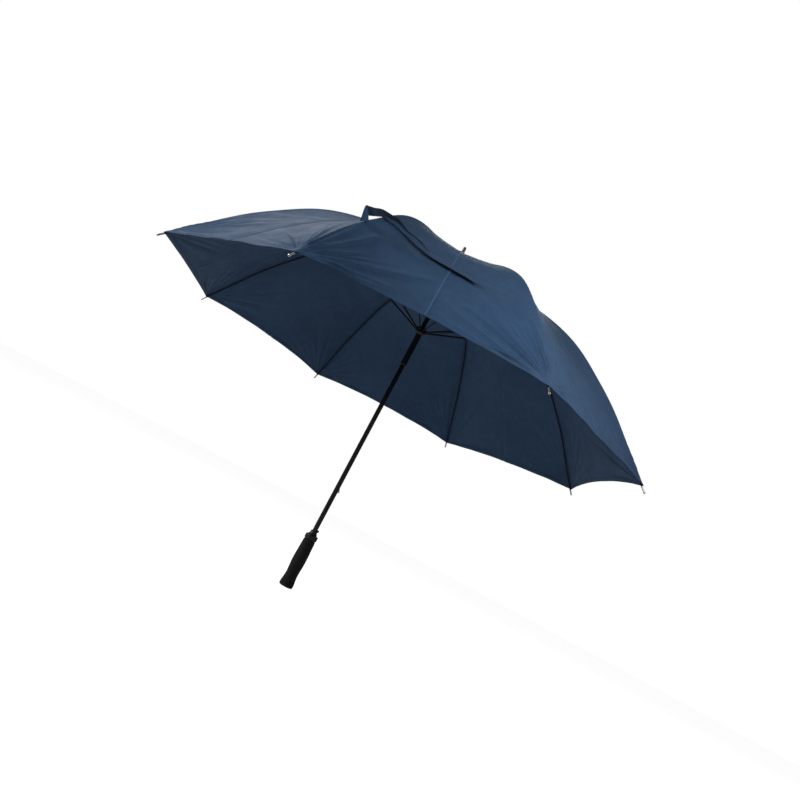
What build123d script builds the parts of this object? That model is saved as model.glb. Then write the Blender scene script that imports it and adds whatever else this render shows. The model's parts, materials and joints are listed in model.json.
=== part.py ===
"""Golf umbrella, open: a long shaft with a foam grip, a sliding runner, eight two-part ribs with
stretchers, and an eight-panel canopy. Millimetres. +Z runs up the shaft from the handle end."""

import os
from math import atan2, cos, degrees, radians, sin

from build123d import *

os.makedirs("parts", exist_ok=True)

# Ribs
rib_count = 8
rib_step = 360 / rib_count
first_rib_azimuth = rib_step / 2
rod_radius = 1.75

# Canopy: the outside of the cloth along a rib's seam, as distance from the shaft and height
seam_line = [
    (0, 905),
    (70, 904.5),
    (130, 902),
    (180, 897.1),
    (227.5, 889),
    (277, 876),
    (325, 858.5),
    (358, 842.9),
    (390, 824),
    (423, 799.9),
    (455, 774),
    (487, 747.1),
    (520, 716.8),
    (552, 683.5),
    (585, 647.2),
    (654, 572.7),
]
cloth_drop = 1.2
cloth_corner_radius = 646
cloth_hole_radius = 8
seam_gap = 0.3
hem_hollow = 12

# Rib rods, along their centre line
rib_pivot = (10, 893)
inner_rod_line = [(22, 894.6), (60, 897), (130, 898), (200, 889.5), (262, 875.8), (292, 866)]
flex_pivot = (303.5, 861.5)
outer_rod_line = [
    (303.5, 861.5),
    (344.5, 843.6),
    (388, 820.4),
    (452.5, 770.8),
    (517.4, 713.8),
    (582.4, 644.2),
    (651.4, 569.9),
]
lug_thickness = 2.0
lug_radius = 2.4
wire_hole_radius = 0.9
outer_eye_thickness = 3.6
outer_eye_radius = 2.6

# Rib connector: a clip with two cheeks
clip_width = 7.0
clip_slot_width = 4.2
clip_outline = [(278, 871.8), (308, 861.7), (308, 857), (300, 849.5), (293, 850), (290, 862), (276, 866)]
pin_radius = 1.0
pin_hole_radius = 1.05

# Stretchers
stretcher_pivot = (297, 853.8)
runner_pivot = (12.7, 720)
stretcher_height = 4.0
stretcher_thickness = 2.6
stretcher_eye_radius = 2.6
stretcher_foot_radius = 2.2
stretcher_edge = 0.6

# Rib tips
tip_reach = 6
tip_cover = 9
tip_sleeve_radius = 2.1
tip_ball_radius = 2.4

# Shaft
shaft_radius = 6.0
shaft_bore_radius = 4.8
shaft_bottom = 6
shaft_top = 902
spring_slot_width = 2.2

# Ferrule
ferrule_flange_radius = 9.5
ferrule_flange_base = 905.4
ferrule_flange_top = 908
ferrule_pin_radius = 4.5
ferrule_pin_top = 972
ferrule_end = 978
ferrule_plug_base = 884

# Top notch
notch_radius = 13
notch_base = 888
notch_top = 899
notch_slot_width = 2.7
notch_slot_root = 7.2
notch_slot_top = 897
wire_radius = 0.6
wire_groove = 1.2

# Runner
runner_bore_radius = 6.08
runner_sleeve_radius = 7.8
runner_base = 619
runner_lip_radius = 9.2
runner_lip_height = 4
crown_radius = 13.4
crown_base = 712.5
crown_top = 727
crown_slot_floor = 716
crown_slot_root = 9.8
crown_slot_width = 3.4
runner_wire_ring = 9.2
runner_wire_height = 714.2
runner_window_base = 686
runner_window_height = 18
runner_window_width = 3.2

# Springs
tooth_thickness = 1.6
tooth_inner = -0.6
tooth_reach = 9.8
hand_tooth_base = 256
hand_tooth_height = 15
top_tooth_top = 617.6
top_tooth_height = 15
tooth_root_height = 4

# Handle
grip_top = 124
grip_bore_radius = 10
grip_profile = [(14, 0.6), (17.2, 3), (18, 7), (18, 14), (16.4, 26), (14.6, 48), (14, 72), (14.5, 98), (15, 120)]
core_end_radius = 10
core_end_height = 6
collar_flange_radius = 16.2
collar_flange_base = 124.2
collar_flange_top = 137
collar_flange_rounding = 3
collar_neck_radius = 12.6
collar_waist_radius = 9.2
collar_top_radius = 8.2
collar_top = 148
nub_size = (4.5, 4, 6)

# Tie strap, in the panel between ribs 6 and 7
strap_start = (-189.4, -457.3)
strap_end = (67, -467)
strap_start_height = 743
strap_end_height = 733.5
strap_width = 26
strap_loop_height = 12
strap_thickness = 1.4


def save(part, name):
    """Names one sub-part and writes its file."""
    part.label = name
    export_step(part, f"parts/{name}.step")


def azimuth_of(number):
    return first_rib_azimuth + (number - 1) * rib_step


def radial_plane(azimuth):
    """Plane through the shaft's axis: local x points away from the shaft, local y points up."""
    out = Vector(cos(radians(azimuth)), sin(radians(azimuth)), 0)
    return Plane(origin=(0, 0, 0), x_dir=out, z_dir=out.cross(Vector(0, 0, 1)))


def heading(start, end):
    return degrees(atan2(end[1] - start[1], end[0] - start[0]))


def distance(start, end):
    return ((end[0] - start[0]) ** 2 + (end[1] - start[1]) ** 2) ** 0.5


def rod(plane, line, radius):
    """Round rod along a smooth line in a plane."""
    with BuildPart() as made:
        with BuildLine(plane) as path:
            Spline(line)
        edge = path.edges()[0]
        with BuildSketch(Plane(origin=edge @ 0, z_dir=edge % 0)):
            Circle(radius)
        sweep()
    return made.part


def inner_rib(plane):
    """Rod with a flat lug and a wire hole at the notch end."""
    bar_length = distance(rib_pivot, inner_rod_line[0]) + lug_radius
    with BuildPart() as made:
        add(rod(plane, inner_rod_line, rod_radius))
        with BuildSketch(plane):
            with Locations(rib_pivot):
                Circle(lug_radius)
            with Locations(Location((*rib_pivot, 0), (0, 0, heading(rib_pivot, inner_rod_line[0])))):
                Rectangle(bar_length, 2 * rod_radius, align=(Align.MIN, Align.CENTER))
        extrude(amount=lug_thickness / 2, both=True)
        with BuildSketch(plane):
            with Locations(rib_pivot):
                Circle(wire_hole_radius)
        extrude(amount=lug_thickness, both=True, mode=Mode.SUBTRACT)
    return made.part


def outer_rib(plane):
    """Rod with a round eye at the flex pivot."""
    with BuildPart() as made:
        add(rod(plane, outer_rod_line, rod_radius))
        with BuildSketch(plane):
            with Locations(flex_pivot):
                Circle(outer_eye_radius)
        extrude(amount=outer_eye_thickness / 2, both=True)
        with BuildSketch(plane):
            with Locations(flex_pivot):
                Circle(pin_hole_radius)
        extrude(amount=outer_eye_thickness, both=True, mode=Mode.SUBTRACT)
    return made.part


def rib_clip(plane):
    """Clip round the inner rod's end, with cheeks and pins for the outer rod and the stretcher."""
    last, end = inner_rod_line[-2:]
    with BuildPart() as made:
        with BuildSketch(plane):
            with BuildLine():
                Polyline(*clip_outline, close=True)
            make_face()
        extrude(amount=clip_width / 2, both=True)
        with BuildSketch(plane):
            with Locations((end[0] + 20, end[1] - 15)):
                Rectangle(40, 60)
        extrude(amount=clip_slot_width / 2, both=True, mode=Mode.SUBTRACT)
        add(rod(plane, inner_rod_line, rod_radius), mode=Mode.SUBTRACT)
        with BuildSketch(plane):
            with Locations(flex_pivot, stretcher_pivot):
                Circle(pin_radius)
        extrude(amount=clip_width / 2, both=True)
    return made.part


def stretcher(plane):
    """Flat bar with an eye at each end."""
    with BuildPart() as made:
        with BuildSketch(plane):
            middle = [(a + b) / 2 for a, b in zip(runner_pivot, stretcher_pivot)]
            with Locations(Location((*middle, 0), (0, 0, heading(runner_pivot, stretcher_pivot)))):
                Rectangle(distance(runner_pivot, stretcher_pivot), stretcher_height)
        extrude(amount=stretcher_thickness / 2, both=True)
        along = [e for e in made.edges() if e.length > stretcher_height * 2]
        fillet(along, stretcher_edge)
        with BuildSketch(plane):
            with Locations(stretcher_pivot):
                Circle(stretcher_eye_radius)
            with Locations(runner_pivot):
                Circle(stretcher_foot_radius)
        extrude(amount=stretcher_thickness / 2, both=True)
        with BuildSketch(plane):
            with Locations(stretcher_pivot, runner_pivot):
                Circle(pin_hole_radius)
        extrude(amount=stretcher_thickness, both=True, mode=Mode.SUBTRACT)
    return made.part


def rib_tip(plane):
    """Metal cap over the outer rod's end, with a small ball."""
    before, end = outer_rod_line[-2:]
    angle = heading(before, end)
    cap_start = (end[0] - tip_cover * cos(radians(angle)), end[1] - tip_cover * sin(radians(angle)))
    cap_plane = Plane(
        origin=plane.from_local_coords((*cap_start, 0)),
        x_dir=plane.from_local_coords((cos(radians(angle)), sin(radians(angle)), 0)),
        z_dir=plane.z_dir,
    )
    length = tip_cover + tip_reach
    with BuildPart() as made:
        with BuildSketch(cap_plane):
            with Locations((length / 2, tip_sleeve_radius / 2)):
                Rectangle(length, tip_sleeve_radius)
        revolve(axis=Axis(cap_plane.origin, cap_plane.x_dir))
        with Locations(cap_plane.from_local_coords((length, 0, 0))):
            Sphere(tip_ball_radius)
        add(rod(plane, outer_rod_line, rod_radius), mode=Mode.SUBTRACT)
    return made.part


def half_panel(azimuth, side):
    """Cloth from a rib's seam to the middle of the panel beside it."""
    middle_azimuth = azimuth + side * rib_step / 2
    shrink = cos(radians(rib_step / 2))
    top = [(x * shrink, z) for x, z in seam_line]
    under = [(x, z - cloth_drop) for x, z in top]
    middle = radial_plane(middle_azimuth)
    reach = 2 * seam_line[-1][0]
    half_chord = cloth_corner_radius * sin(radians(rib_step / 2))
    hem_radius = (half_chord**2 + hem_hollow**2) / (2 * hem_hollow)
    hem_centre = cloth_corner_radius * shrink - hem_hollow + hem_radius
    seam_way = Vector(cos(radians(azimuth)), sin(radians(azimuth)), 0)
    middle_way = Vector(cos(radians(middle_azimuth)), sin(radians(middle_azimuth)), 0)
    gap_apex = seam_way * (seam_gap / sin(radians(rib_step / 2)))
    wedge = [gap_apex, seam_way * reach, gap_apex + middle_way * reach]
    with BuildPart() as made:
        with BuildSketch(middle):
            with BuildLine():
                Polyline(*top, *under[::-1], close=True)
            make_face()
        extrude(amount=reach / 2, both=True)
        with BuildSketch(Plane.XY):
            with BuildLine():
                Polyline(*wedge, close=True)
            make_face()
        extrude(amount=2 * seam_line[0][1], mode=Mode.INTERSECT)
        with Locations(middle_way * hem_centre + Vector(0, 0, seam_line[-1][1])):
            Cylinder(hem_radius, seam_line[0][1], mode=Mode.SUBTRACT)
        with Locations((0, 0, seam_line[0][1])):
            Cylinder(cloth_hole_radius, seam_line[0][1], mode=Mode.SUBTRACT)
    return made.part


def canopy_sector(azimuth):
    """The two half panels that one rib carries."""
    with BuildPart() as made:
        add(half_panel(azimuth, 1))
        add(half_panel(azimuth, -1))
    return made.part


for number in range(1, rib_count + 1):
    plane = radial_plane(azimuth_of(number))
    save(inner_rib(plane), f"rib_{number}_inner")
    save(outer_rib(plane), f"rib_{number}_outer")
    save(rib_clip(plane), f"rib_{number}_connector")
    save(rib_tip(plane), f"rib_{number}_tip")
    save(stretcher(plane), f"stretcher_{number}")
    save(canopy_sector(azimuth_of(number)), f"canopy_sector_{number}")

# Shaft: a tube with a slot for each spring tooth
with BuildPart() as shaft:
    with BuildSketch(Plane.XY.offset(shaft_bottom)):
        Circle(shaft_radius)
        Circle(shaft_bore_radius, mode=Mode.SUBTRACT)
    extrude(amount=shaft_top - shaft_bottom)
    slots = [
        (hand_tooth_base + hand_tooth_height / 2, hand_tooth_height + 2),
        (top_tooth_top - top_tooth_height / 2, top_tooth_height + 2),
    ]
    for height, length in slots:
        with Locations((shaft_radius, 0, height)):
            Box(shaft_radius, spring_slot_width, length, mode=Mode.SUBTRACT)
save(shaft.part, "shaft")

# Ferrule: a plug in the shaft, a flange on the cloth and a rounded pin
with BuildPart() as ferrule:
    with BuildSketch(Plane.XZ):
        with BuildLine():
            Polyline(
                (0, ferrule_plug_base),
                (shaft_bore_radius, ferrule_plug_base),
                (shaft_bore_radius, shaft_top),
                (shaft_radius, shaft_top),
                (shaft_radius, ferrule_flange_base),
                (ferrule_flange_radius, ferrule_flange_base),
                (ferrule_flange_radius, ferrule_flange_top - 1),
                (ferrule_pin_radius + 1.5, ferrule_flange_top + 1),
                (ferrule_pin_radius, ferrule_flange_top + 4),
                (ferrule_pin_radius, ferrule_pin_top),
                (ferrule_pin_radius - 1, ferrule_end - 1.5),
                (ferrule_pin_radius - 2.5, ferrule_end),
                (0, ferrule_end),
                close=True,
            )
        make_face()
    revolve(axis=Axis.Z)
save(ferrule.part, "ferrule")

# Top notch: a slotted ring that holds the ribs' lugs
with BuildPart() as top_notch:
    with BuildSketch(Plane.XY.offset(notch_base)):
        Circle(notch_radius)
        Circle(shaft_radius, mode=Mode.SUBTRACT)
    extrude(amount=notch_top - notch_base)
    slot_length = notch_radius - notch_slot_root + 1
    for number in range(1, rib_count + 1):
        azimuth = azimuth_of(number)
        with Locations(Location((0, 0, notch_base), (0, 0, azimuth))):
            with Locations(Location((notch_slot_root, 0, 0))):
                Box(
                    slot_length,
                    notch_slot_width,
                    notch_slot_top - notch_base,
                    align=(Align.MIN, Align.CENTER, Align.MIN),
                    mode=Mode.SUBTRACT,
                )
    with BuildSketch(Plane.XZ):
        with Locations(((rib_pivot[0] - wire_radius + notch_radius + 1) / 2, rib_pivot[1])):
            Rectangle(notch_radius + 1 - rib_pivot[0] + wire_radius, wire_groove)
    revolve(axis=Axis.Z, mode=Mode.SUBTRACT)
save(top_notch.part, "top_notch")

with BuildPart() as notch_wire:
    with Locations((0, 0, rib_pivot[1])):
        Torus(rib_pivot[0], wire_radius)
save(notch_wire.part, "notch_wire")

# Runner: a sleeve with a slotted crown, a lip and a window for the hand spring
with BuildPart() as runner:
    with BuildSketch(Plane.XZ):
        with BuildLine():
            Polyline(
                (runner_bore_radius, runner_base),
                (runner_lip_radius - 0.8, runner_base),
                (runner_lip_radius, runner_base + 0.8),
                (runner_lip_radius, runner_base + runner_lip_height - 0.8),
                (runner_sleeve_radius, runner_base + runner_lip_height),
                (runner_sleeve_radius, crown_base - 4),
                (crown_radius - 1, crown_base),
                (crown_radius, crown_base + 1),
                (crown_radius, crown_top - 1),
                (crown_radius - 1, crown_top),
                (runner_bore_radius, crown_top),
                close=True,
            )
        make_face()
    revolve(axis=Axis.Z)
    for number in range(1, rib_count + 1):
        azimuth = azimuth_of(number)
        with Locations(Location((0, 0, crown_slot_floor), (0, 0, azimuth))):
            with Locations(Location((crown_slot_root, 0, 0))):
                Box(
                    crown_radius,
                    crown_slot_width,
                    crown_top,
                    align=(Align.MIN, Align.CENTER, Align.MIN),
                    mode=Mode.SUBTRACT,
                )
    with BuildSketch(Plane.XZ):
        with Locations(((runner_wire_ring - wire_radius + crown_radius + 1) / 2, runner_wire_height)):
            Rectangle(crown_radius + 1 - runner_wire_ring + wire_radius, wire_groove)
    revolve(axis=Axis.Z, mode=Mode.SUBTRACT)
    with Locations((runner_sleeve_radius, 0, runner_window_base)):
        Box(
            runner_sleeve_radius,
            runner_window_width,
            runner_window_height,
            align=(Align.CENTER, Align.CENTER, Align.MIN),
            mode=Mode.SUBTRACT,
        )
save(runner.part, "runner")

with BuildPart() as runner_wire:
    with Locations((0, 0, runner_wire_height)):
        Torus(runner_wire_ring, wire_radius)
save(runner_wire.part, "runner_wire")

# Hand spring tooth: slopes at the top, square below, so that it holds the runner down
with BuildPart() as hand_spring:
    with BuildSketch(Plane.XZ):
        with BuildLine():
            Polyline(
                (tooth_inner, hand_tooth_base),
                (tooth_reach, hand_tooth_base),
                (tooth_reach, hand_tooth_base + 1.5),
                (shaft_bore_radius, hand_tooth_base + hand_tooth_height),
                (tooth_inner, hand_tooth_base + hand_tooth_height),
                close=True,
            )
        make_face()
    extrude(amount=tooth_thickness / 2, both=True)
save(hand_spring.part, "hand_spring")

# Top spring tooth: square at the top, so that the raised runner rests on it
with BuildPart() as top_spring:
    with BuildSketch(Plane.XZ):
        with BuildLine():
            Polyline(
                (tooth_inner, top_tooth_top),
                (tooth_reach, top_tooth_top),
                (tooth_reach, top_tooth_top - 1.5),
                (shaft_bore_radius, top_tooth_top - top_tooth_height),
                (tooth_inner, top_tooth_top - top_tooth_height),
                close=True,
            )
        make_face()
    extrude(amount=tooth_thickness / 2, both=True)
save(top_spring.part, "top_spring")

# Grip core: an end disc and a tube between the shaft and the foam
with BuildPart() as grip_core:
    with BuildSketch(Plane.XY):
        Circle(core_end_radius)
    extrude(amount=core_end_height)
    with BuildSketch(Plane.XY.offset(core_end_height)):
        Circle(grip_bore_radius)
        Circle(shaft_radius, mode=Mode.SUBTRACT)
    extrude(amount=grip_top - core_end_height)
save(grip_core.part, "grip_core")

# Foam grip: waisted, with a flared and rounded lower end
with BuildPart() as foam_grip:
    with BuildSketch(Plane.XZ):
        with BuildLine():
            Line((grip_bore_radius, 0), (grip_profile[0][0] - 1, 0))
            Line((grip_profile[0][0] - 1, 0), grip_profile[0])
            Polyline(*grip_profile)
            Line(grip_profile[-1], (grip_profile[-1][0] - 0.6, grip_top))
            Line((grip_profile[-1][0] - 0.6, grip_top), (grip_bore_radius, grip_top))
            Line((grip_bore_radius, grip_top), (grip_bore_radius, 0))
        make_face()
    revolve(axis=Axis.Z)
save(foam_grip.part, "foam_grip")

# Handle collar: a rounded flange on the foam, a hollow cone up to the shaft and a small nub
with BuildPart() as handle_collar:
    with BuildSketch(Plane.XZ):
        with BuildLine():
            Polyline(
                (shaft_radius, collar_flange_base),
                (collar_flange_radius, collar_flange_base),
                (collar_flange_radius, collar_flange_top),
                (collar_neck_radius, collar_flange_top),
            )
            ThreePointArc(
                (collar_neck_radius, collar_flange_top),
                (collar_waist_radius, (collar_flange_top + collar_top) / 2),
                (collar_top_radius, collar_top),
            )
            Polyline(
                (collar_top_radius, collar_top),
                (shaft_radius, collar_top),
                (shaft_radius, collar_flange_base),
            )
        face = make_face()
        rim = face.vertices().sort_by(Axis.X)[-2:]
        fillet(rim, collar_flange_rounding)
    revolve(axis=Axis.Z)
    with Locations((shaft_radius, 0, collar_top - 1)):
        Box(*nub_size, align=(Align.MIN, Align.CENTER, Align.MIN))
save(handle_collar.part, "handle_collar")

# Tie strap: stands on edge across one panel, with its sewn end folded up
strap_length = distance(strap_start, strap_end)
strap_plane = Plane(
    origin=(*strap_start, strap_start_height),
    x_dir=(strap_end[0] - strap_start[0], strap_end[1] - strap_start[1], 0),
    z_dir=Vector(strap_end[0] - strap_start[0], strap_end[1] - strap_start[1], 0).cross(Vector(0, 0, 1)),
)
strap_rise = strap_end_height - strap_start_height
with BuildPart() as tie_strap:
    with BuildSketch(strap_plane):
        with BuildLine():
            Polyline(
                (0, 0),
                (strap_length, strap_rise),
                (strap_length + strap_width / 4, strap_rise + strap_width / 2),
                (strap_length, strap_rise + strap_width),
                (strap_length / 3, strap_rise / 3 + strap_width),
                (strap_length / 6, strap_rise / 6 + strap_width + strap_loop_height),
                (0, strap_width + strap_loop_height),
                close=True,
            )
        make_face()
    extrude(amount=strap_thickness / 2, both=True)
save(tie_strap.part, "tie_strap")
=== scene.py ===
import json
import math

import bpy
import numpy as np
from mathutils import Matrix, Vector


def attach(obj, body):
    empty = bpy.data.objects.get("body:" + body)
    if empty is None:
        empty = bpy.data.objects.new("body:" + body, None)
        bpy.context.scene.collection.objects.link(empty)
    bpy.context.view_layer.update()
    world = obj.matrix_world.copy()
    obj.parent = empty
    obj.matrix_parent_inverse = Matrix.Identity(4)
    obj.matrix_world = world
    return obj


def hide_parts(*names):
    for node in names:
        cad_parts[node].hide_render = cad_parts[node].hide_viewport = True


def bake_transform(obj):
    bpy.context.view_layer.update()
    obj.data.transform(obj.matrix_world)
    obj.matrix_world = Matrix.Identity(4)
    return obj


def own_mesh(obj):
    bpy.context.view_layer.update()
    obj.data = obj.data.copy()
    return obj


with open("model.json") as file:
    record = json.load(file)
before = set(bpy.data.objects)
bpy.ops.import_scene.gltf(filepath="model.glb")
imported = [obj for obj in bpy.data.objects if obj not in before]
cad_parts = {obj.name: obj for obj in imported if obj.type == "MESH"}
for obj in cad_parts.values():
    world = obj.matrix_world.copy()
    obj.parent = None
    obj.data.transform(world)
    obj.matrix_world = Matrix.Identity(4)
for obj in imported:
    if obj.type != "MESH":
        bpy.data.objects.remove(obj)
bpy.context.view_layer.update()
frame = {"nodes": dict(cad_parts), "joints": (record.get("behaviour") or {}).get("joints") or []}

nodes = frame["nodes"]
joints = {joint["name"]: joint for joint in frame["joints"]}
scene = bpy.context.scene

# ---------------------------------------------------------------- sizes, in metres
PANELS = 8
FRONT = 6                # the panel towards -Y, between ribs 6 and 7
HALF = math.pi / PANELS
COS, SIN = math.cos(HALF), math.sin(HALF)
UP = np.array([0.0, 0.0, 1.0])
# the cloth's seam along each rib: distance from the shaft, height
SEAM = np.array([
    (0.0, 0.905), (0.130, 0.902), (0.2275, 0.889), (0.325, 0.8585), (0.390, 0.824),
    (0.455, 0.774), (0.520, 0.7168), (0.585, 0.6472), (0.650, 0.577)])
# the rods' centre lines, the same way
ROD = np.array([
    (0.022, 0.8946), (0.060, 0.897), (0.130, 0.898), (0.200, 0.8895), (0.262, 0.8758), (0.292, 0.866),
    (0.3445, 0.8436), (0.388, 0.8204), (0.4525, 0.7708), (0.5174, 0.7138), (0.5824, 0.6442),
    (0.6514, 0.5699)])
ROD_RADIUS = 0.00175
HOLE = 0.0085            # the cloth's hole under the ferrule's flange
CORNER = 0.648           # the cloth's corner at each rib tip
HEM_HOLLOW = 0.013       # how far the hem curves in between two tips
SLACK_HEMS = {1: 0.009, 4: 0.003}   # and on the panels whose hem hangs straighter
SLANT = 1.42             # way along the cloth near the hem for each step away from the shaft
CROWN_END = 0.040
SPLITS = (0.170, 0.3035, 0.430, 0.540)
# each half panel is cut into strips: the distances where each begins and ends
STRIPS = {"crown": (HOLE, CROWN_END), "a": (CROWN_END, SPLITS[0]), "b": (SPLITS[0], SPLITS[1]),
          "c": (SPLITS[1], SPLITS[2]), "d": (SPLITS[2], SPLITS[3]), "e": (SPLITS[3], CORNER)}
OUTER_BANDS = "cde"      # the strips on the rib's outer part


def pivot(joint):
    """A rib joint's distance from the shaft, and its height."""
    x, y, z = joints[joint]["pos_m"]
    return math.hypot(x, y), z


RIB_PIVOT = pivot("rib_1_hinge")
FLEX_PIVOT = pivot("rib_1_flex")
FOLD = math.radians(max(joints["rib_1_hinge"]["range_deg"]))
FLEX = -math.radians(min(joints["rib_1_flex"]["range_deg"]))


# ---------------------------------------------------------------- small helpers
def natural_spline(x, y):
    """Second derivatives of a cubic spline, level at its first point and natural at its last."""
    n = len(x)
    a = np.zeros((n, n))
    b = np.zeros(n)
    h = np.diff(x)
    a[0, 0], a[0, 1] = 2 * h[0], h[0]
    b[0] = 6 * (y[1] - y[0]) / h[0]
    a[-1, -1] = 1
    for i in range(1, n - 1):
        a[i, i - 1], a[i, i], a[i, i + 1] = h[i - 1], 2 * (h[i - 1] + h[i]), h[i]
        b[i] = 6 * ((y[i + 1] - y[i]) / h[i] - (y[i] - y[i - 1]) / h[i - 1])
    return np.linalg.solve(a, b)


SEAM_BEND = natural_spline(SEAM[:, 0], SEAM[:, 1])


def seam_z(rho):
    x, y = SEAM[:, 0], SEAM[:, 1]
    rho = np.asarray(rho, float)
    i = np.clip(np.searchsorted(x, rho) - 1, 0, len(x) - 2)
    h = x[i + 1] - x[i]
    p, q = (x[i + 1] - rho) / h, (rho - x[i]) / h
    bend = (p**3 - p) * SEAM_BEND[i] + (q**3 - q) * SEAM_BEND[i + 1]
    return p * y[i] + q * y[i + 1] + bend * h * h / 6


def seam_slope(rho):
    step = 1e-4
    return (seam_z(rho + step) - seam_z(rho - step)) / (2 * step)


def smooth(x, a, b):
    t = np.clip((np.asarray(x, float) - a) / (b - a), 0, 1)
    return t * t * (3 - 2 * t)


def chance(*key):
    """A fixed number from 0 to 1 for a set of whole numbers."""
    s = math.sin(sum(v * w for v, w in zip(key, (12.9898, 78.233, 37.719, 4.581)))) * 43758.5453
    return s - math.floor(s)


def unit(v):
    return v / np.linalg.norm(v, axis=-1, keepdims=True)


def new_mesh(name, verts, faces, uvs=None, normals=None):
    """A smooth-shaded mesh object. uvs is {layer name: a pair for each vertex}."""
    mesh = bpy.data.meshes.new(name)
    mesh.from_pydata([tuple(v) for v in verts], [], [tuple(int(i) for i in f) for f in faces])
    mesh.update()
    mesh.polygons.foreach_set("use_smooth", [True] * len(mesh.polygons))
    corners = np.zeros(len(mesh.loops), int)
    mesh.loops.foreach_get("vertex_index", corners)
    for layer_name, uv in (uvs or {}).items():
        layer = mesh.uv_layers.new(name=layer_name)
        layer.data.foreach_set("uv", np.asarray(uv, np.float32)[corners].ravel())
    if normals is not None:
        mesh.normals_split_custom_set([tuple(n) for n in np.asarray(normals)[corners]])
    made = bpy.data.objects.new(name, mesh)
    scene.collection.objects.link(made)
    return made


def grid_faces(rows, columns, flip=False, closed=False):
    """Quads of a grid of points. closed joins the last column to the first."""
    index = np.arange(rows * columns).reshape(rows, columns)
    if closed:
        index = np.concatenate([index, index[:, :1]], 1)
    quads = np.stack([index[:-1, :-1], index[:-1, 1:], index[1:, 1:], index[1:, :-1]], -1).reshape(-1, 4)
    return quads[:, ::-1] if flip else quads


def tube(name, path, radius, material, sides=8):
    """A round thread along points, closed at both ends."""
    path = np.asarray(path, float)
    along = unit(np.gradient(path, axis=0))
    across = unit(np.cross(along[0], UP + 0.3))
    rings = []
    for point, way in zip(path, along):
        across = unit(across - way * (across @ way))
        other = np.cross(way, across)
        angles = np.linspace(0, 2 * math.pi, sides, endpoint=False)
        rings.append([point + radius * (math.cos(a) * across + math.sin(a) * other) for a in angles])
    verts = np.array(rings).reshape(-1, 3)
    last = len(verts) - sides
    faces = [tuple(f) for f in grid_faces(len(path), sides, closed=True)]
    faces += [tuple(range(sides - 1, -1, -1)), tuple(range(last, last + sides))]
    made = new_mesh(name, verts, faces)
    made.data.materials.append(material)
    return made


# ---------------------------------------------------------------- materials
class Shade:
    """A material's node tree, with short calls for adding and joining nodes."""

    def __init__(self, name, **values):
        self.material = bpy.data.materials.new(name)
        self.material.use_nodes = True
        self.tree = self.material.node_tree
        self.shader = self.tree.nodes["Principled BSDF"]
        self.place = self.tree.nodes.new("ShaderNodeTexCoord").outputs["Object"]
        for key, value in values.items():
            self.shader.inputs[key.replace("_", " ")].default_value = value

    def node(self, kind, *inputs, **settings):
        """A node of one kind, with its first inputs joined or set, and its settings."""
        made = self.tree.nodes.new("ShaderNode" + kind)
        for key, value in settings.items():
            setattr(made, key, value)
        sockets = [s for s in made.inputs if s.enabled]
        for socket, value in zip(sockets, inputs):
            if isinstance(value, bpy.types.NodeSocket):
                self.tree.links.new(value, socket)
            elif value is not None:
                colour = len(np.shape(value)) and socket.type == "RGBA"
                socket.default_value = (*value, 1) if colour else value
        return made

    def math(self, operation, a, b=None):
        return self.node("Math", a, b, operation=operation).outputs[0]

    def noise(self, scale, detail=3.0, rough=0.5, stretch=(1, 1, 1)):
        spread = self.node("Mapping", self.place, None, None, stretch).outputs["Vector"]
        made = self.node("TexNoise", spread)
        for key, value in (("Scale", scale), ("Detail", detail), ("Roughness", rough)):
            made.inputs[key].default_value = value
        return made.outputs["Fac"]

    def spread(self, value, low, high, start=0.3, end=0.7):
        return self.node("MapRange", value, start, end, low, high).outputs["Result"]

    def ramp(self, value, low, high, start=0.3, end=0.7):
        """A colour from low to high."""
        made = self.node("ValToRGB", value)
        for stop, place, colour in zip(made.color_ramp.elements, (start, end), (low, high)):
            stop.position = place
            stop.color = (*colour, 1)
        return made.outputs["Color"]

    def mix(self, share, a, b, kind="MIX"):
        made = self.node("Mix", share, a, b, data_type="RGBA", blend_type=kind)
        return [s for s in made.outputs if s.enabled][0]

    def finish(self, colour, rough, bumps):
        """bumps: (height, strength, distance in metres)."""
        self.tree.links.new(colour, self.shader.inputs["Base Color"])
        self.tree.links.new(rough, self.shader.inputs["Roughness"])
        normal = None
        for height, strength, distance in bumps:
            made = self.node("Bump")
            made.inputs["Strength"].default_value = strength
            made.inputs["Distance"].default_value = distance
            self.tree.links.new(height, made.inputs["Height"])
            if normal is not None:
                self.tree.links.new(normal, made.inputs["Normal"])
            normal = made.outputs["Normal"]
        self.tree.links.new(normal, self.shader.inputs["Normal"])
        return self.material


def grey(value):
    return (value, value, value)


def scaled(colour, factor):
    return tuple(min(1.0, c * factor) for c in colour)


NAVY = (0.029, 0.068, 0.138)
# painted shade for the strap's faces that turn away from the light
STRAP_SHADE = (0.0040, 0.0060, 0.0110)
THREAD_PITCH = 0.00042   # of the cloth's weave, drawn coarser than the real one
STITCH_PITCH = 0.0026
STITCH_WIDTH = 0.0007


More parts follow.
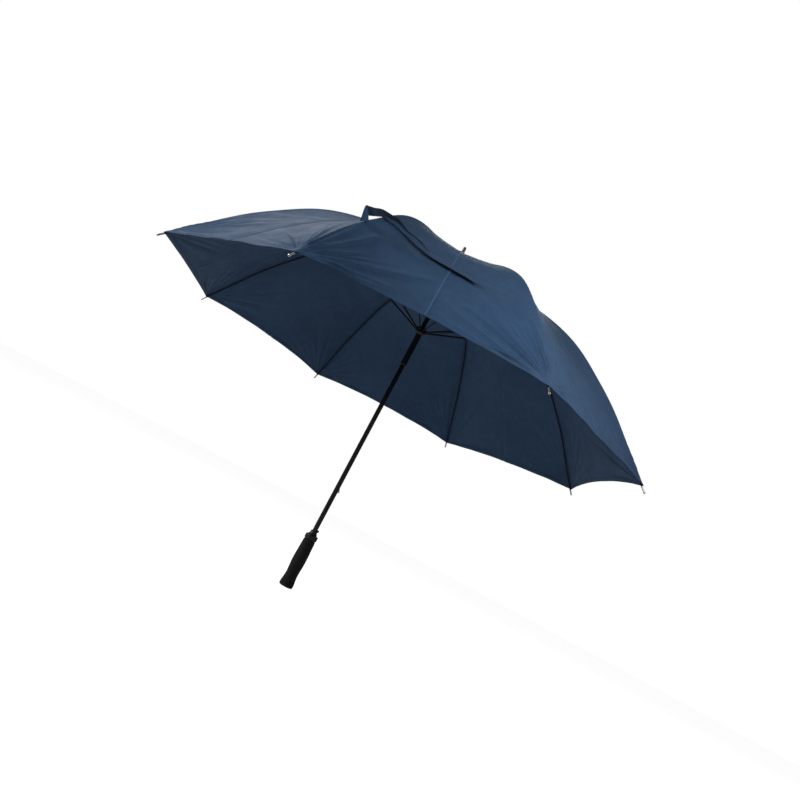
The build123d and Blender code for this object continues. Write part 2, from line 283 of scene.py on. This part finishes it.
def cloth_material(name, edges, painted_light_tone, painted_light_width):
    """Navy polyester in plain weave with sewn rows, and painted light along the fold down its middle. Its UV
    layers are in metres: "Cloth" runs across from the sewn edge and along the cloth, and "Middle" across from
    the fold down its middle, with the painted light's strength as its second number. edges: where the rows of
    stitches lie, as distances from the sewn edge."""
    s = Shade(name, Specular_IOR_Level=0.15, Sheen_Weight=0.01, Sheen_Roughness=0.4,
              Sheen_Tint=(0.8, 0.85, 1, 1))
    cloth = s.node("SeparateXYZ", s.node("UVMap", uv_map="Cloth").outputs["UV"])
    across, along = cloth.outputs["X"], cloth.outputs["Y"]
    middle = s.node("SeparateXYZ", s.node("UVMap", uv_map="Middle").outputs["UV"])
    turns = 2 * math.pi / THREAD_PITCH
    warp = s.math("SINE", s.math("MULTIPLY", across, turns))
    weft = s.math("SINE", s.math("MULTIPLY", along, turns))
    weave = s.math("MULTIPLY", warp, weft)
    colour = s.ramp(s.noise(5.0, 4, 0.55), scaled(NAVY, 0.88), scaled(NAVY, 1.14))
    colour = s.mix(0.35, colour, s.ramp(s.noise(60.0, 4, 0.6), grey(0.72), grey(1.2)), "MULTIPLY")
    threads = s.ramp(s.spread(weave, 0, 1, -1, 1), grey(0.55), grey(1.35), 0.1, 0.9)
    colour = s.mix(0.25, colour, threads, "MULTIPLY")
    # painted light, as strong as the layer's second number: on the canopy a painted highlight along the fold
    # down the middle, on the strap painted shade
    painted_light = s.spread(s.math("ABSOLUTE", middle.outputs["X"]), 1, 0, *painted_light_width)
    # the painted light is weaker in random patches
    wear_and_painted_light_patches = s.spread(s.noise(14, 3, 0.6), 0.6, 1.0)
    painted_light = s.math("MULTIPLY", s.math("MULTIPLY", painted_light, wear_and_painted_light_patches), middle.outputs["Y"])
    colour = s.mix(painted_light, colour, painted_light_tone)
    # stitches beside the seams
    rows = None
    for edge in edges:
        away = s.math("ABSOLUTE", s.math("SUBTRACT", s.math("ABSOLUTE", across), edge))
        row = s.math("LESS_THAN", away, STITCH_WIDTH / 2)
        rows = row if rows is None else s.math("MAXIMUM", rows, row)
    beat = s.math("SINE", s.math("MULTIPLY", along, 2 * math.pi / STITCH_PITCH))
    dash = s.math("GREATER_THAN", beat, -0.45)
    stitch = s.math("MULTIPLY", rows, dash)
    colour = s.mix(s.math("MULTIPLY", stitch, 0.5), colour, scaled(NAVY, 1.5))
    rough = s.spread(s.noise(25, 4, 0.6), 0.46, 0.60)
    return s.finish(colour, rough, [
        (s.noise(38, 4, 0.55), 0.10, 0.0012), (s.noise(900, 2, 0.6), 0.10, 0.00012),
        (weave, 0.16, 0.00007), (stitch, 0.5, 0.0003)])


def plastic_material(name, colour, rough, grain=1600, **values):
    """Moulded plastic or enamel: slightly uneven in colour and gloss, with a fine grain."""
    s = Shade(name, **values)
    tone = s.ramp(s.noise(90, 4, 0.6), scaled(colour, 0.75), scaled(colour, 1.35))
    wear_and_painted_light_patches = s.ramp(s.noise(30, 5, 0.7), grey(1.0), grey(1.5), 0.55, 0.8)
    tone = s.mix(0.5, tone, wear_and_painted_light_patches, "MULTIPLY")
    return s.finish(tone, s.spread(s.noise(160, 5, 0.65), *rough),
                    [(s.noise(grain, 3, 0.6), 0.12, 0.00008), (s.noise(55, 3, 0.5), 0.05, 0.0003)])


def metal_material(name, colour, rough, stretch=(1, 1, 1)):
    """Plated or drawn metal, with fine marks along its stretch."""
    s = Shade(name, Metallic=1.0)
    tone = s.ramp(s.noise(70, 5, 0.6), scaled(colour, 0.8), scaled(colour, 1.12))
    return s.finish(tone, s.spread(s.noise(140, 5, 0.6, stretch), *rough),
                    [(s.noise(500, 3, 0.6, stretch), 0.08, 0.00006), (s.noise(60, 3, 0.5), 0.04, 0.0003)])


def foam_material(name):
    """Closed-cell foam: fine pores, a dull surface and a few scuffed spots."""
    s = Shade(name, Specular_IOR_Level=0.15, Sheen_Weight=0.02, Sheen_Roughness=0.6)
    cells = s.node("TexVoronoi", s.place)
    cells.inputs["Scale"].default_value = 1150
    pores = s.spread(cells.outputs["Distance"], 0, 1, 0.0, 0.55)
    tone = s.ramp(s.noise(26, 4, 0.6), grey(0.0040), grey(0.0075))
    tone = s.mix(0.6, tone, s.ramp(pores, grey(0.35), grey(1.4), 0.0, 0.8), "MULTIPLY")
    return s.finish(tone, s.spread(s.noise(240, 4, 0.6), 0.66, 0.9), [
        (s.noise(48, 3, 0.5), 0.12, 0.0006), (pores, 0.35, 0.00022), (s.noise(2300, 2, 0.6), 0.2, 0.0001)])


# the canopy's lighter tone along each panel's middle fold is a painted highlight
CLOTH = cloth_material("canopy_cloth", (0.0022, 0.0068), scaled(NAVY, 1.9), (0.0004, 0.0017))
# the strap's dark tone is painted shade and a painted shadow line, as strong as its "Middle" layer's second
# number
STRAP = cloth_material("strap_cloth", (0.0018,), STRAP_SHADE, (0.5, 1.5))
RIB = plastic_material("rib_rod", (0.0045, 0.005, 0.0065), (0.45, 0.6), Specular_IOR_Level=0.2)
CLIP = plastic_material("clip_plastic", (0.006, 0.006, 0.0065), (0.45, 0.6), Specular_IOR_Level=0.25)
STRETCHER = plastic_material("stretcher_enamel", (0.005, 0.0055, 0.007), (0.35, 0.5), Specular_IOR_Level=0.25)
SHAFT = plastic_material("shaft_enamel", (0.0035, 0.0035, 0.0040), (0.16, 0.24), grain=700,
                         Specular_IOR_Level=0.5)
BLACK = plastic_material("black_plastic", (0.0050, 0.0050, 0.0055), (0.34, 0.5), Specular_IOR_Level=0.3)
THREAD = plastic_material("thread", (0.012, 0.018, 0.032), (0.55, 0.75), grain=2500, Specular_IOR_Level=0.3)
FERRULE = metal_material("ferrule_metal", (0.16, 0.135, 0.115), (0.3, 0.45), (30, 30, 1))
NICKEL = metal_material("nickel", (0.42, 0.41, 0.40), (0.18, 0.32))
WIRE = metal_material("steel_wire", (0.40, 0.40, 0.40), (0.22, 0.38))
SPRING = metal_material("spring_steel", (0.56, 0.56, 0.55), (0.2, 0.34), (1, 1, 12))
FOAM = foam_material("grip_foam")

# ---------------------------------------------------------------- canopy
def sag(rho):
    """How far the middle of a panel lies inside the straight line between its ribs."""
    places = (0, 0.05, 0.13, 0.23, 0.33, 0.42, 0.52, 0.60, 0.65)
    depths = (0, 0.0010, 0.0065, 0.0145, 0.0185, 0.0180, 0.0125, 0.006, 0.004)
    return np.interp(rho, places, depths)


def hem_rho(panel, t):
    """The hem's distance from the shaft, at t from -1 to 1 across a panel."""
    return CORNER - SLACK_HEMS.get(panel, HEM_HOLLOW) * (1 - np.abs(t) ** 2.1)


FANNED_FOLDS = 11
# how strong the folds at a corner are: the panel, the side of it, and a factor
TIGHT_CORNERS = {(FRONT, 1): 2.6, (FRONT, -1): 1.15, (7, -1): 1.2, (5, 1): 1.3}
OTHER_CORNERS = 0.8


def fanned_folds(panel, side, x, rho):
    """Taut folds that fan out from a rib tip, between the seam and the hem."""
    inward = CORNER * SIN - x * side
    upward = (CORNER - rho) * SLANT
    away = np.hypot(inward, upward) + 1e-6
    angle = np.arctan2(inward, upward)
    height = np.zeros_like(x)
    for i in range(FANNED_FOLDS):
        luck = [chance(panel + 1, side + 3, i + 1, k) for k in range(1, 6)]
        place = 0.27 + 1.18 * (i + 0.2 + 0.6 * luck[0]) / FANNED_FOLDS
        bend = 0.9 * (luck[1] - 0.5)
        reach = 0.15 + 0.24 * luck[2]
        width = 0.026 + 0.032 * luck[3]
        size = 0.0012 + 0.0028 * luck[4]
        ridge = np.exp(-np.abs((angle - place - bend * away) / width) ** 1.4)
        height += size * ridge * smooth(away, 0.006, 0.060) * (1 - smooth(away, 0.35 * reach, reach))
    return height * TIGHT_CORNERS.get((panel, side), OTHER_CORNERS)


def ripples(panel, t, rho):
    """Height of the cloth's folds, seams and hem above its smooth surface."""
    half_width = np.maximum(rho * SIN, 1e-4)
    x = t * half_width
    to_seam = half_width - np.abs(x)
    to_hem = (hem_rho(panel, t) - rho) * SLANT
    turn = [2 * math.pi * chance(panel + 1, k) for k in range(1, 8)]
    out = fanned_folds(panel, 1, x, rho) + fanned_folds(panel, -1, x, rho)
    # gathers along the seam
    gather = np.exp(-to_seam / 0.010) * smooth(rho, 0.05, 0.12)
    out += 0.00032 * gather * np.sin(rho * 2 * math.pi / 0.0135 + turn[0] + 1.3 * np.sin(rho * 41 + turn[1]))
    # long, shallow pulls from rib to rib
    pull = smooth(to_seam, 0.0, 0.05) * smooth(rho, 0.12, 0.3) * np.where(t < 0, 1.0, 0.5)
    out += 0.0006 * pull * np.sin(rho * 62 + 1.6 * t + 2.2 * np.sin(rho * 17 + 2.4 * t) + turn[2])
    out += 0.0004 * pull * np.sin(rho * 113 - 7.0 * t + 1.8 * np.sin(9 * t + turn[3]) + turn[4])
    # slack by the hem
    slack = np.exp(-to_hem / 0.055) * smooth(to_seam, 0.01, 0.08)
    out += slack * (0.0009 * np.sin(t * 6.1 + turn[5]) * np.cos(rho * 20) + 0.0004 * np.sin(t * 15 + turn[6]))
    # the fold that storage left down the middle
    out += 0.0011 * np.exp(-np.abs(x) / 0.0032) * smooth(rho, 0.03, 0.08)
    out -= 0.0006 * np.exp(-((np.abs(x) - 0.010) / 0.008) ** 2) * smooth(rho, 0.08, 0.15)
    # two soft creases across each panel from the rolled umbrella
    for place, size in ((0.285, 0.0005), (0.455, 0.0005)):
        bend = place + 0.010 * np.sin(3.1 * t + turn[3])
        out += size * np.exp(-((rho - bend) / 0.004) ** 2) * smooth(to_seam, 0.01, 0.06)
    # the felled seam's two layers beside the rib, and the hem's turned edge
    out += 0.00045 * (1 - smooth(to_seam, 0.0076, 0.0090))
    out += 0.00035 * (1 - smooth(to_hem, 0.0085, 0.0100))
    # two panels meet in one line on the rib
    return out * smooth(to_seam, 0.0, 0.0030)


def panel_points(panel, t, rho, lift=0.0, folds=True):
    """Points of a panel, whose middle is at 45 degrees times its number. t and rho are arrays of one shape,
    and lift is a height above the cloth."""
    middle = 2 * HALF * panel
    out_way = np.array([math.cos(middle), math.sin(middle), 0.0])
    side_way = np.array([-math.sin(middle), math.cos(middle), 0.0])
    tilt_x = -seam_slope(rho) / COS
    size = np.sqrt(tilt_x**2 + 1)
    height = lift - sag(rho) * (1 - np.abs(t) ** 1.9)
    if folds:
        height = height + ripples(panel, t, rho)
    x = rho * COS + height * tilt_x / size
    z = seam_z(rho) + height / size
    return x[..., None] * out_way + (rho * SIN * t)[..., None] * side_way + z[..., None] * UP


def canopy_rows():
    """Shares of the way from the crown's hole to the hem, denser at the hem, and the rows where strips
    begin."""
    dense_from = 0.86
    share = np.unique(np.concatenate([np.linspace(0, dense_from, 126), np.linspace(dense_from, 1.0, 46)]))
    ends = [(rho - HOLE) / (CORNER - HOLE) for rho in (CROWN_END, *SPLITS)]
    rows = [int(np.argmin(np.abs(share - end))) for end in ends]
    share[rows] = ends
    return share, [0, *rows]


def canopy_columns():
    """Places from a panel's middle, 0, to its seam, 1, denser at both."""
    s = np.linspace(0, 1, 60)
    return (3 * s * s - 2 * s**3) * 0.75 + s * 0.25


ROWS, CUTS = canopy_rows()
COLUMNS = canopy_columns()
# the hem, turned under: steps out along the cloth and down from it, and the way each faces
HEM_TURN = [(0.0007, -0.0004, 0.8, 0.6), (0.0006, -0.0011, 0.9, -0.4), (-0.0010, -0.0015, 0, -1),
            (-0.0085, -0.0014, 0, -1), (-0.0088, -0.0006, -0.5, -1)]


def panel_grid(panel):
    """Points, normals and distances from the shaft of a whole panel, with its hem turned under."""
    t = np.concatenate([-COLUMNS[::-1], COLUMNS[1:]])
    across, down = np.meshgrid(t, ROWS)
    rho = HOLE + (hem_rho(panel, across) - HOLE) * down
    points = panel_points(panel, across, rho)
    normals = unit(np.cross(np.gradient(points, axis=0), np.gradient(points, axis=1)))
    edge_way = unit(points[-1] - points[-2])
    face = normals[-1]
    turned = [points[-1] + edge_way * step + face * rise for step, rise, _, _ in HEM_TURN]
    facing = [unit(edge_way * a + face * b) for _, _, a, b in HEM_TURN]
    rho = np.concatenate([rho, np.repeat(rho[-1:], len(HEM_TURN), 0)])
    return t, np.concatenate([points, turned]), np.concatenate([normals, facing]), rho


def rib_ways(rib):
    """The way out along a rib, and the way round from it."""
    a = HALF + (rib - 1) * 2 * HALF
    return np.array([math.cos(a), math.sin(a), 0.0]), np.array([-math.sin(a), math.cos(a), 0.0])


def turn_down(point, about, angle):
    x, z = point[0] - about[0], point[1] - about[1]
    return (about[0] + x * math.cos(angle) + z * math.sin(angle),
            about[1] - x * math.sin(angle) + z * math.cos(angle))


def closed_radius(rho, outer):
    """How far a seam point is from the shaft when the umbrella is closed."""
    point = turn_down((rho, float(seam_z(rho))), RIB_PIVOT, FOLD)
    if outer:
        point = turn_down(point, turn_down(FLEX_PIVOT, RIB_PIVOT, FOLD), -FLEX)
    return point[0]


def closed_lean(way, out_way, outer):
    """How much a direction fixed to a rib points away from the shaft when the umbrella is closed."""
    angle = FOLD - FLEX if outer else FOLD
    return (way @ out_way) * math.cos(angle) + (way @ UP) * math.sin(angle)


PLEAT_SPREAD = 0.04      # how far a strip's free edge then stands out past its rib, as a share of its width
# and how far along each strip it meets the strip of the next rib, from 0 to 1
MEETING = {"a": 0.33, "b": 0.30, "c": 1.0, "d": 0.08, "e": 0.10}
CLOSED_LEAST = 0.012     # the least distance of a closed strip from the shaft's centre line
LEAST_KEEP = 0.02


def pleat(band, side, rib):
    """Axis, anchor and keep of a squash that would fold a strip into a pleat beside its rib; nothing here
    applies it.

    A strip reaches from the seam towards the panel's middle. The squash would turn that reach into a short
    way out from the shaft, the same for all strips so that they follow on, and a short way round it, so that
    the strips of two ribs meet between them."""
    out_way, round_way = rib_ways(rib)
    start, end = STRIPS[band]
    outer = band in OUTER_BANDS
    heights = seam_z(np.array([start, end]))
    along = unit(out_way * (end - start) + UP * (heights[1] - heights[0]))
    away = np.cross(along, round_way)
    away *= np.sign(away[2])
    reach = -SIN * out_way + side * COS * round_way
    meeting = start + (end - start) * MEETING[band]
    radius = max(closed_radius(meeting, outer), CLOSED_LEAST)
    round_share = (radius / (meeting * SIN) + PLEAT_SPREAD) * math.tan(HALF)
    slip = (reach @ along) * closed_lean(along, out_way, outer)
    out_share = (PLEAT_SPREAD - slip) / closed_lean(away, out_way, outer)
    flat = reach - (reach @ along) * along
    gone = flat - out_share * away - side * round_share * round_way
    size = np.linalg.norm(gone)
    axis = gone / size
    keep = max(1 - size / (axis @ flat), LEAST_KEEP)
    seam = [out_way * rho + UP * float(seam_z(rho)) for rho in np.linspace(start, end, 9)]
    depths = [point @ axis for point in seam]
    anchor = seam[4] + axis * ((min(depths) + max(depths)) / 2 - seam[4] @ axis)
    return axis, anchor, keep


def canopy_strip(name, grid, side, first, last, crease_highlight_strength):
    """One strip of a half panel, shaded with the whole panel's normals."""
    t, points, normals, rho = grid
    middle = len(t) // 2
    columns = np.arange(middle, len(t)) if side > 0 else np.arange(middle, -1, -1)
    pick = np.ix_(np.arange(first, last + 1), columns)
    from_middle = np.abs(t[columns])[None, :] * rho[pick] * SIN
    along = np.cumsum(np.linalg.norm(np.diff(points[:, middle], axis=0, prepend=points[:1, middle]), axis=1))
    along = np.repeat(along[first:last + 1, None], len(columns), 1)
    cloth = np.stack([rho[pick] * SIN - from_middle, along], -1).reshape(-1, 2)
    # the "Middle" layer: distance from the middle fold, and how strong the painted highlight along it is
    crease = np.stack([from_middle, np.full(from_middle.shape, crease_highlight_strength)], -1).reshape(-1, 2)
    faces = grid_faces(*points[pick].shape[:2], flip=side > 0)
    return new_mesh(name, points[pick].reshape(-1, 3), faces, {"Cloth": cloth, "Middle": crease},
                    normals[pick].reshape(-1, 3))


OTHER_CREASE_HIGHLIGHT = 0.35   # how strong the painted highlight along the middle fold is on the panels other than the front one
last_row = len(ROWS) + len(HEM_TURN) - 1
grids = [panel_grid(panel) for panel in range(PANELS)]
for rib in range(1, PANELS + 1):
    out_way, round_way = rib_ways(rib)
    # a rib carries the near half of the panel on each side of it
    for label, side, panel in (("left", -1, rib % PANELS), ("right", 1, (rib - 1) % PANELS)):
        # the painted highlight along the middle fold is strongest on the front panel
        crease_highlight_strength = 1.0 if panel == FRONT else OTHER_CREASE_HIGHLIGHT
        for (band, (start, end)), first, last in zip(STRIPS.items(), CUTS, [*CUTS[1:], last_row]):
            piece = canopy_strip(f"canopy_{rib}_{label}_{band}", grids[panel], side, first, last, crease_highlight_strength)
            piece.data.materials.append(CLOTH)
            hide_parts(f"canopy_sector_{rib}")
            outer = band in OUTER_BANDS
            if band == "crown":
                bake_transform(piece)
            else:
                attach(piece, f"rib_outer_{rib}" if outer else f"rib_inner_{rib}")
                axis, anchor, keep = pleat(band, -side, rib)
                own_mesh(piece)


# ---------------------------------------------------------------- threads that tie the cloth to the ribs
TIE_RADIUS = 0.00027
TIE_PITCH = 0.00062      # from one turn of the thread to the next
TIE_STEPS = 20           # points in each turn
TIE_PLACES = (0.130, 0.235, 0.370, 0.440, 0.510, 0.580)


def rib_tie(name, rib, rho, turns, reach, body):
    """A thread wound round the rod and through the seam above it. reach is its height over the rod's
    centre line."""
    out_way, round_way = rib_ways(rib)
    rod_z = np.interp(rho, ROD[:, 0], ROD[:, 1])
    slope = np.interp(rho + 0.01, ROD[:, 0], ROD[:, 1]) - np.interp(rho - 0.01, ROD[:, 0], ROD[:, 1])
    along = unit(out_way * 0.02 + UP * slope)
    away = unit(np.cross(along, round_way))
    away *= np.sign(away[2])
    low, high = -ROD_RADIUS - 0.0003, reach
    centre = out_way * rho + UP * rod_z + away * (low + high) / 2
    path = []
    for step in range(turns * TIE_STEPS + 1):
        a = 2 * math.pi * step / TIE_STEPS
        path.append(centre + away * (high - low) / 2 * math.cos(a)
                    + round_way * (ROD_RADIUS + 0.00035) * math.sin(a)
                    + along * (step / TIE_STEPS - turns / 2) * TIE_PITCH)
    tie = tube(name, path, TIE_RADIUS, THREAD, 6)
    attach(tie, body)


for rib in range(1, PANELS + 1):
    for number, rho in enumerate(TIE_PLACES, 1):
        body = f"rib_inner_{rib}" if rho < FLEX_PIVOT[0] else f"rib_outer_{rib}"
        gap = float(seam_z(rho)) - np.interp(rho, ROD[:, 0], ROD[:, 1])
        rib_tie(f"rib_tie_{rib}_{number}", rib, rho, 3, gap * 0.72, body)
    rib_tie(f"tip_tie_{rib}", rib, CORNER - 0.0045, 5, 0.0027, f"rib_outer_{rib}")


# ---------------------------------------------------------------- tie strap
# stations along the strap, in millimetres: its far edge, its lengthwise crease and its near edge
STRAP_LINE = [
    ((-187, -450, 745), (-192, -459, 738), (-198, -468, 731)),
    ((-189, -453, 749), (-194, -465, 745), (-198, -480, 738)),
    ((-191, -455, 753), (-195, -470, 755), (-199, -491, 754)),
    ((-187, -449, 758), (-190, -461, 761), (-194, -474, 764)),
    ((-178, -444, 764), (-183, -449, 769), (-188, -454, 774)),
    ((-168, -426, 776), (-171, -426, 783), (-177, -426, 790)),
    ((-154, -422, 776), (-155, -418, 782), (-155, -411, 795)),
    ((-141, -420, 775), (-142, -412, 785), (-144, -408, 796)),
    ((-127, -421, 770), (-131, -413, 782), (-131, -406, 791)),
    ((-110, -422, 765), (-111, -415, 775), (-111, -410, 781)),
    ((-91, -429, 757), (-94, -421, 771), (-95, -418, 775)),
    ((-72, -438, 749), (-76, -430, 762), (-77, -425, 768)),
    ((-52, -445, 742), (-54, -434, 752), (-55, -421, 760)),
    ((-33, -446, 740), (-35, -434, 750), (-36, -422, 758)),
    ((-10, -447, 739), (-11, -435, 749), (-13, -423, 757)),
    ((13, -448, 738), (13, -437, 748), (12, -424, 756)),
    ((36, -452, 736), (35, -439, 746), (35, -426, 755)),
    ((62, -459, 731), (58, -450, 738), (54, -441, 743)),
]
STRAP_THICKNESS = 0.0011


def curve_through(stations, steps):
    """Smooth points through stations, with a number of steps between each two."""
    padded = np.concatenate([2 * stations[:1] - stations[1:2], stations, 2 * stations[-1:] - stations[-2:-1]])
    out = []
    for i in range(1, len(padded) - 2):
        a, b, c, d = padded[i - 1:i + 3]
        for u in np.arange(steps) / steps:
            out.append(0.5 * (2 * b + (c - a) * u + (2 * a - 5 * b + 4 * c - d) * u * u
                              + (3 * b - a - 3 * c + d) * u**3))
    return np.array(out + [stations[-1]])


def tie_strap():
    """The band that ties the rolled canopy, lying across the front panel from rib 6."""
    rows = curve_through(np.array(STRAP_LINE) / 1000, 8)
    share = np.linspace(0, 1, 13)
    far, crease, near = rows[:, 0], rows[:, 1], rows[:, 2]
    flat = far[:, None] * (1 - share)[:, None] + near[:, None] * share[:, None]
    bow = 1 - np.abs(2 * share - 1) ** 1.5
    points = flat + (crease - (far + near) / 2)[:, None] * bow[:, None]
    along = np.cumsum(np.linalg.norm(np.diff(crease, axis=0, prepend=crease[:1]), axis=1))
    width = np.linalg.norm(near - far, axis=1)
    from_edge = np.minimum(share, 1 - share)[None, :] * width[:, None]
    cloth = np.stack([from_edge, np.repeat(along[:, None], len(share), 1)], -1)
    faces = grid_faces(len(rows), len(share))
    # painted shade, as dark as the strap's shaded side: on the first stretch past the fold, then on the far
    # half only, and at the end a painted shadow line along one edge
    station = np.linspace(0, len(STRAP_LINE) - 1, len(rows))[:, None]
    side = share[None, :]
    first = smooth(station, 2.0, 2.4) * (1 - smooth(station, 5.0, 6.0))
    upper = smooth(station, 4.5, 5.5) * (1 - smooth(station, 11.0, 12.5)) * smooth(side, 0.46, 0.54)
    edge = smooth(station, 11.0, 12.0) * (1 - smooth(side, 0.02, 0.09))
    painted_shade = np.clip(first + upper + edge, 0, 1)
    tone = np.stack([np.zeros(painted_shade.shape), painted_shade], -1)
    strap = new_mesh("tie_strap_band", points.reshape(-1, 3), faces,
                     {"Cloth": cloth.reshape(-1, 2), "Middle": tone.reshape(-1, 2)})
    strap.data.materials.append(STRAP)
    thick = strap.modifiers.new("thickness", "SOLIDIFY")
    thick.thickness = STRAP_THICKNESS
    thick.offset = 0
    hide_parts("tie_strap")
    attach(strap, "rib_outer_6")
    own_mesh(strap)


tie_strap()


# ---------------------------------------------------------------- foam grip
# the grip's outline from its lower end: height, radius
GRIP_LINE = np.array([
    (0.0, 0.0140), (0.0006, 0.0160), (0.0024, 0.0174), (0.0055, 0.0178), (0.0120, 0.0175), (0.0220, 0.0160),
    (0.0320, 0.0152), (0.0450, 0.0157), (0.0620, 0.0168), (0.0820, 0.0168), (0.1020, 0.0160),
    (0.1170, 0.0154), (0.1224, 0.0148), (0.1240, 0.0133)])
GRIP_TOP = GRIP_LINE[-1, 0]
GRIP_BORE = 0.0102


def foam_grip():
    """A waisted foam sleeve with soft rounded ends, slightly uneven as cut foam is."""
    outline = curve_through(GRIP_LINE, 9)
    outline = np.concatenate([[(0.0, GRIP_BORE)], outline, [(GRIP_TOP, GRIP_BORE)]])
    angles = np.linspace(0, 2 * math.pi, 96, endpoint=False)
    verts = []
    for z, radius in outline:
        for a in angles:
            uneven = 0.00009 * math.sin(3 * a + 60 * z)
            uneven += 0.00006 * math.sin(7 * a - 130 * z)
            r = radius + (uneven if radius > GRIP_BORE else 0)
            verts.append((r * math.cos(a), r * math.sin(a), z))
    faces = [tuple(f) for f in grid_faces(len(outline), len(angles), closed=True)]
    last = (len(outline) - 1) * len(angles)
    count = len(angles)
    faces += [(last + i, last + (i + 1) % count, (i + 1) % count, i) for i in range(count)]
    grip = new_mesh("foam_sleeve", verts, faces)
    grip.data.set_sharp_from_angle(angle=math.radians(50))
    grip.data.materials.append(FOAM)
    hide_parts("foam_grip")
    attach(grip, "shaft")


foam_grip()


# ---------------------------------------------------------------- materials of the CAD nodes
def paint(node, material):
    made = nodes[node]
    made.data.materials.clear()
    made.data.materials.append(material)
    made.data.polygons.foreach_set("use_smooth", [True] * len(made.data.polygons))
    made.data.set_sharp_from_angle(angle=math.radians(32))


for rib in range(1, PANELS + 1):
    paint(f"rib_{rib}_inner", RIB)
    paint(f"rib_{rib}_outer", RIB)
    paint(f"rib_{rib}_connector", CLIP)
    paint(f"rib_{rib}_tip", NICKEL)
    paint(f"stretcher_{rib}", STRETCHER)
for node, material in (("shaft", SHAFT), ("ferrule", FERRULE), ("top_notch", BLACK), ("notch_wire", WIRE),
                       ("runner", BLACK), ("runner_wire", WIRE), ("hand_spring", SPRING),
                       ("top_spring", SPRING), ("handle_collar", BLACK), ("grip_core", BLACK)):
    paint(node, material)

# ---------------------------------------------------------------- stage, light, camera
FLOOR_GLOW = 0.86
SKY = 0.19


def seen_or_lit(tree, seen, lit, out):
    """Shows one shader to the camera, and lights the object with another."""
    mixer = tree.nodes.new("ShaderNodeMixShader")
    ray = tree.nodes.new("ShaderNodeLightPath")
    tree.links.new(ray.outputs["Is Camera Ray"], mixer.inputs[0])
    tree.links.new(lit, mixer.inputs[1])
    tree.links.new(seen, mixer.inputs[2])
    tree.links.new(mixer.outputs[0], out)


world = bpy.data.worlds.new("studio")
scene.world = world
world.use_nodes = True
sky_tree = world.node_tree
sky = sky_tree.nodes["Background"]
sky.inputs["Color"].default_value = (1, 1, 1, 1)
sky.inputs["Strength"].default_value = SKY
backdrop = sky_tree.nodes.new("ShaderNodeBackground")
backdrop.inputs["Color"].default_value = (1, 1, 1, 1)
backdrop.inputs["Strength"].default_value = 1.0
seen_or_lit(sky_tree, backdrop.outputs[0], sky.outputs[0], sky_tree.nodes["World Output"].inputs["Surface"])

paper = Shade("floor", Specular_IOR_Level=0.1)
paper.finish(paper.ramp(paper.noise(3, 3), grey(0.54), grey(0.57)),
             paper.spread(paper.noise(8, 3), 0.85, 0.95), [(paper.noise(400, 2, 0.6), 0.05, 0.0002)])
glow = paper.tree.nodes.new("ShaderNodeEmission")
glow.inputs["Strength"].default_value = FLOOR_GLOW
both = paper.tree.nodes.new("ShaderNodeAddShader")
paper.tree.links.new(glow.outputs[0], both.inputs[0])
paper.tree.links.new(paper.shader.outputs[0], both.inputs[1])
seen_or_lit(paper.tree, both.outputs[0], paper.shader.outputs[0],
            paper.tree.nodes["Material Output"].inputs["Surface"])
bpy.ops.mesh.primitive_circle_add(vertices=96, radius=9.0, fill_type="NGON", location=(0, 0, -0.0005))
floor = bpy.context.object
floor.name = "floor"
floor.data.materials.append(paper.material)


def area_light(name, way, distance, size, power):
    """A round soft light, aimed at the middle of the canopy from a direction."""
    target = Vector((0, 0, 0.75))
    light = bpy.data.lights.new(name, "AREA")
    light.shape = "DISK"
    light.size = size
    light.energy = power
    made = bpy.data.objects.new(name, light)
    scene.collection.objects.link(made)
    made.visible_camera = False
    made.location = target + Vector(way).normalized() * distance
    made.rotation_euler = (target - made.location).to_track_quat("-Z", "Y").to_euler()


area_light("key", (-0.90, -0.20, 0.26), 3.0, 0.7, 66)
area_light("front", (0.42, -0.88, 0.16), 0.92, 0.40, 2.2)
area_light("right", (0.74, -0.60, 0.30), 0.98, 0.45, 1.2)
area_light("rim", (-0.60, 0.60, 0.62), 2.7, 1.4, 6)
area_light("back", (0.10, 1.00, 0.50), 3.0, 1.4, 22)
area_light("under", (0.0, -0.12, -1.0), 0.73, 1.3, 1.2)

camera = bpy.data.cameras.new("camera")
camera.sensor_width = 36.0
camera.lens = 31.86
camera_object = bpy.data.objects.new("camera", camera)
scene.collection.objects.link(camera_object)
right = Vector((0.8837, -0.0835, 0.4605)).normalized()
back = -Vector((0.0083, 0.9866, 0.1629)).normalized()
top = back.cross(right).normalized()
right = top.cross(back).normalized()
axes = Matrix((right, top, back)).transposed().to_4x4()
camera_object.matrix_world = Matrix.Translation((0.0205, -1.7752, 0.2416)) @ axes
scene.camera = camera_object
scene.view_settings.view_transform = "Standard"
